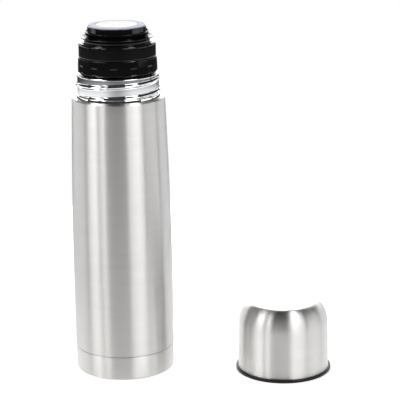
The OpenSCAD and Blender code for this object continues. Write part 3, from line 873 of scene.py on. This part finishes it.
spring_low, spring_high = box_mm("button_spring")
spring = bpy.data.objects.new("button_spring", bpy.data.meshes.new("button_spring"))
bpy.context.collection.objects.link(spring)
wire_steel = steel("spring_wire", (0.6, 0.6, 0.61), 0.22)
apply_tree(spring, coil(), {
    "Turns": 8.0, "Coil radius": 4.5 * MM, "Wire radius": 0.5 * MM, "Low": spring_low.z * MM,
    "High": spring_high.z * MM, "Material": wire_steel})
fit(spring, wire_steel, "stopper", "button_spring")
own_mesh(spring)


# Button skirt: the black carrier of the button. It slides in the collar, holds the white disc
# and the stem, and its own flared lip hoods the pouring gap.
skirt_low, skirt_high = box_mm("button_skirt")
floor_z = ring_top + 4
stem_r = 2.5
stem_fit_r = stem_r + 0.02
boss_r = 3.6
boss_z = floor_z - 2.4
disc_high = box_mm("button_cap")[1]
disc_r = disc_high.x
pocket_r = disc_r + 0.12
rim_top = skirt_high.z
carrier = lathe("button_skirt", [
    (stem_fit_r, boss_z), (boss_r, boss_z, 0.2), (boss_r, floor_z, 0.2),
    (skirt_r - 1.5, floor_z, 0.3), (skirt_r - 1.5, skirt_low.z, 0.2), (skirt_r, skirt_low.z, 0.3),
    (skirt_r, floor_z - 0.2, 0.8), (skirt_r + 1.7, floor_z + 2.6, 0.2),
    (skirt_r + 1.4, floor_z + 2.85, 0.2), (skirt_r + 0.25, floor_z + 1.25, 0.5),
    (skirt_r - 0.4, floor_z + 1.2, 0.3), (skirt_r - 0.4, rim_top, 0.35),
    (pocket_r, rim_top, 0.15), (pocket_r, floor_z + 1.4), (stem_fit_r, floor_z + 1.4)],
    segments=288)
fit(carrier, gloss_black, "button", "button_skirt")


# Button disc: the white moulded cap that the thumb presses, snapped into its carrier. It is
# hollow below, and a shallow recess in its top leaves a cool white ring round the insert.
insert_high = box_mm("button_insert")[1]
insert_r = insert_high.x
recess_r = insert_r + 0.3
recess_z = disc_high.z - 1.5
disc_low_z = floor_z + 1.42
hollow_r = disc_r - 1.3
hollow_z = disc_low_z + 1.75
button = lathe("button_cap", [
    (0, hollow_z), (hollow_r, hollow_z, 0.4), (hollow_r, disc_low_z), (disc_r, disc_low_z, 0.2),
    (disc_r, disc_high.z, 0.4), (recess_r, disc_high.z, 0.1), (recess_r, recess_z), (0, recess_z)],
    closed=False, segments=288)
cool_white = moulded("cool_white", (0.52, 0.53, 0.6), 0.5, mottle=0.01, Specular_IOR_Level=0.06,
                     Subsurface_Weight=0.1, Subsurface_Scale=0.001)
fit(button, cool_white, "button", "button_cap")


# Button insert: a disc of a warmer white plastic, pressed flush into the button's recess. One
# fine ring is moulded into it.
insert_low_z = disc_high.z - 1.48
groove_at = 0.52 * insert_r
groove_half = 0.2
insert = lathe("button_insert", [
    (0, insert_low_z), (insert_r, insert_low_z), (insert_r, insert_high.z, 0.15),
    (groove_at + groove_half, insert_high.z), (groove_at, insert_high.z - 0.15),
    (groove_at - groove_half, insert_high.z), (0, insert_high.z)], closed=False, segments=288)
warm_white = moulded("warm_white", (0.82, 0.81, 0.78), 0.5, mottle=0.01, Specular_IOR_Level=0.1,
                     Subsurface_Weight=0.1, Subsurface_Scale=0.001)
fit(insert, warm_white, "button", "button_insert")


# Valve stem: an acetal rod pressed into the button's carrier. Its head below the plug carries
# the valve plate.
stem_low, stem_high = box_mm("valve_stem")
head_r = 4
head_z = stem_low.z + 1.15
stem = lathe("valve_stem", [
    (0, stem_low.z), (head_r, stem_low.z, 0.4), (head_r, head_z, 0.3), (stem_r, head_z, 0.3),
    (stem_r, stem_high.z, 0.3), (0, stem_high.z)], closed=False, segments=96)
acetal = moulded("acetal", (0.7, 0.7, 0.68), 0.4)
fit(stem, acetal, "button", "valve_stem")


# Valve plate: a black moulded disc, clipped on the stem's head. It holds the seal against the
# plug's floor.
plate_low, plate_high = box_mm("valve_plate")
plate = lathe("valve_plate", [
    (stem_fit_r, plate_low.z), (plate_high.x - 1.5, plate_low.z, 0.6),
    (plate_high.x, plate_low.z + 1.3, 0.5), (plate_high.x, plate_high.z, 0.25),
    (stem_fit_r, plate_high.z)], segments=144)
fit(plate, gloss_black, "button", "valve_plate")


# Valve seal: a flat silicone washer that lies on the plate. It closes the hole in the plug's
# floor until the button is pressed.
washer_low, washer_high = box_mm("valve_seal")
washer_in_r = valve_hole_r - 0.6
washer = lathe("valve_seal", [
    (washer_in_r, washer_low.z, 0.15), (washer_high.x, washer_low.z, 0.3),
    (washer_high.x, washer_high.z, 0.3), (washer_in_r, washer_high.z, 0.15)], segments=144)
fit(washer, silicone, "button", "valve_seal")


# Cup: deep-drawn steel with a wide round shoulder and a flat end, standing mouth down on its
# black ring. Its sides are brushed like the body, and its flat end is ground finer.
cup_low, cup_high = box_mm("cup_shell")
cup_x = (cup_low.x + cup_high.x) / 2
cup_y = (cup_low.y + cup_high.y) / 2
cup_r = cup_high.x - cup_x
bend_z = 0.6775 * cup_high.z
flat_r = 0.677 * cup_r
cup_wall = 0.5
upright_r = cup_r - 0.4


def cup_line(inset, steps=40):
    """The cup's round shoulder, from its side up and over to the flat end."""
    return [(flat_r + (upright_r - inset - flat_r) * math.cos(math.pi / 2 * k / steps),
             bend_z + (cup_high.z - inset - bend_z) * math.sin(math.pi / 2 * k / steps))
            for k in range(steps + 1)]


cup = lathe("cup_shell", [
    (0, cup_high.z), *cup_line(0)[::-1], (cup_r, cup_low.z), (cup_r - cup_wall, cup_low.z),
    *cup_line(cup_wall), (0, cup_high.z - cup_wall)],
    closed=False, segments=288, centre=(cup_x, cup_y))
cup_tone = (0.68, 0.67, 0.655)
fit(cup, steel("cup_steel", cup_tone, 0.38, grain=0.0018, brushed=1.0),
    "cup", "cup_shell")
cup.data.materials.append(steel("cup_end_steel", cup_tone, 0.36, grain=0.0012, brushed=0.1))
end_z = cup_high.z - 0.3
for polygon in cup.data.polygons:
    if polygon.center.z > end_z * MM:
        polygon.material_index = 1


# Cup ring: the black moulded ring in the cup's mouth. Its rim shows under the steel, and the
# sleeve inside carries the thread that screws on the neck.
mouth_high = box_mm("cup_thread_ring")[1]
mouth_r = mouth_high.x - cup_x
rim_h = cup_low.z - 0.02
bore = neck_r + 1.5
sleeve_r = cup_r - cup_wall - 0.42
mouth = lathe("cup_thread_ring", [
    (bore, 0, 0.4), (mouth_r, 0, 0.5), (mouth_r, rim_h, 0.5), (sleeve_r, rim_h),
    (sleeve_r, mouth_high.z, 0.2), (bore, mouth_high.z, 0.3)],
    segments=288, centre=(cup_x, cup_y), fine=(0, mouth_high.z, 0.3, 0))
satin_black = moulded("satin_black", (0.008, 0.008, 0.009), 0.3, grain=0.004,
                      Specular_IOR_Level=0.2)
roll_thread(mouth, satin_black, cup_lead, height=-0.95, half_width=1.3, steepness=1.4,
            base_z=0.65, turns=(0.25, 1.15), radii=(bore - 0.5, bore + 0.3),
            centre=(cup_x, cup_y))
fit(mouth, satin_black, "cup", "cup_thread_ring")
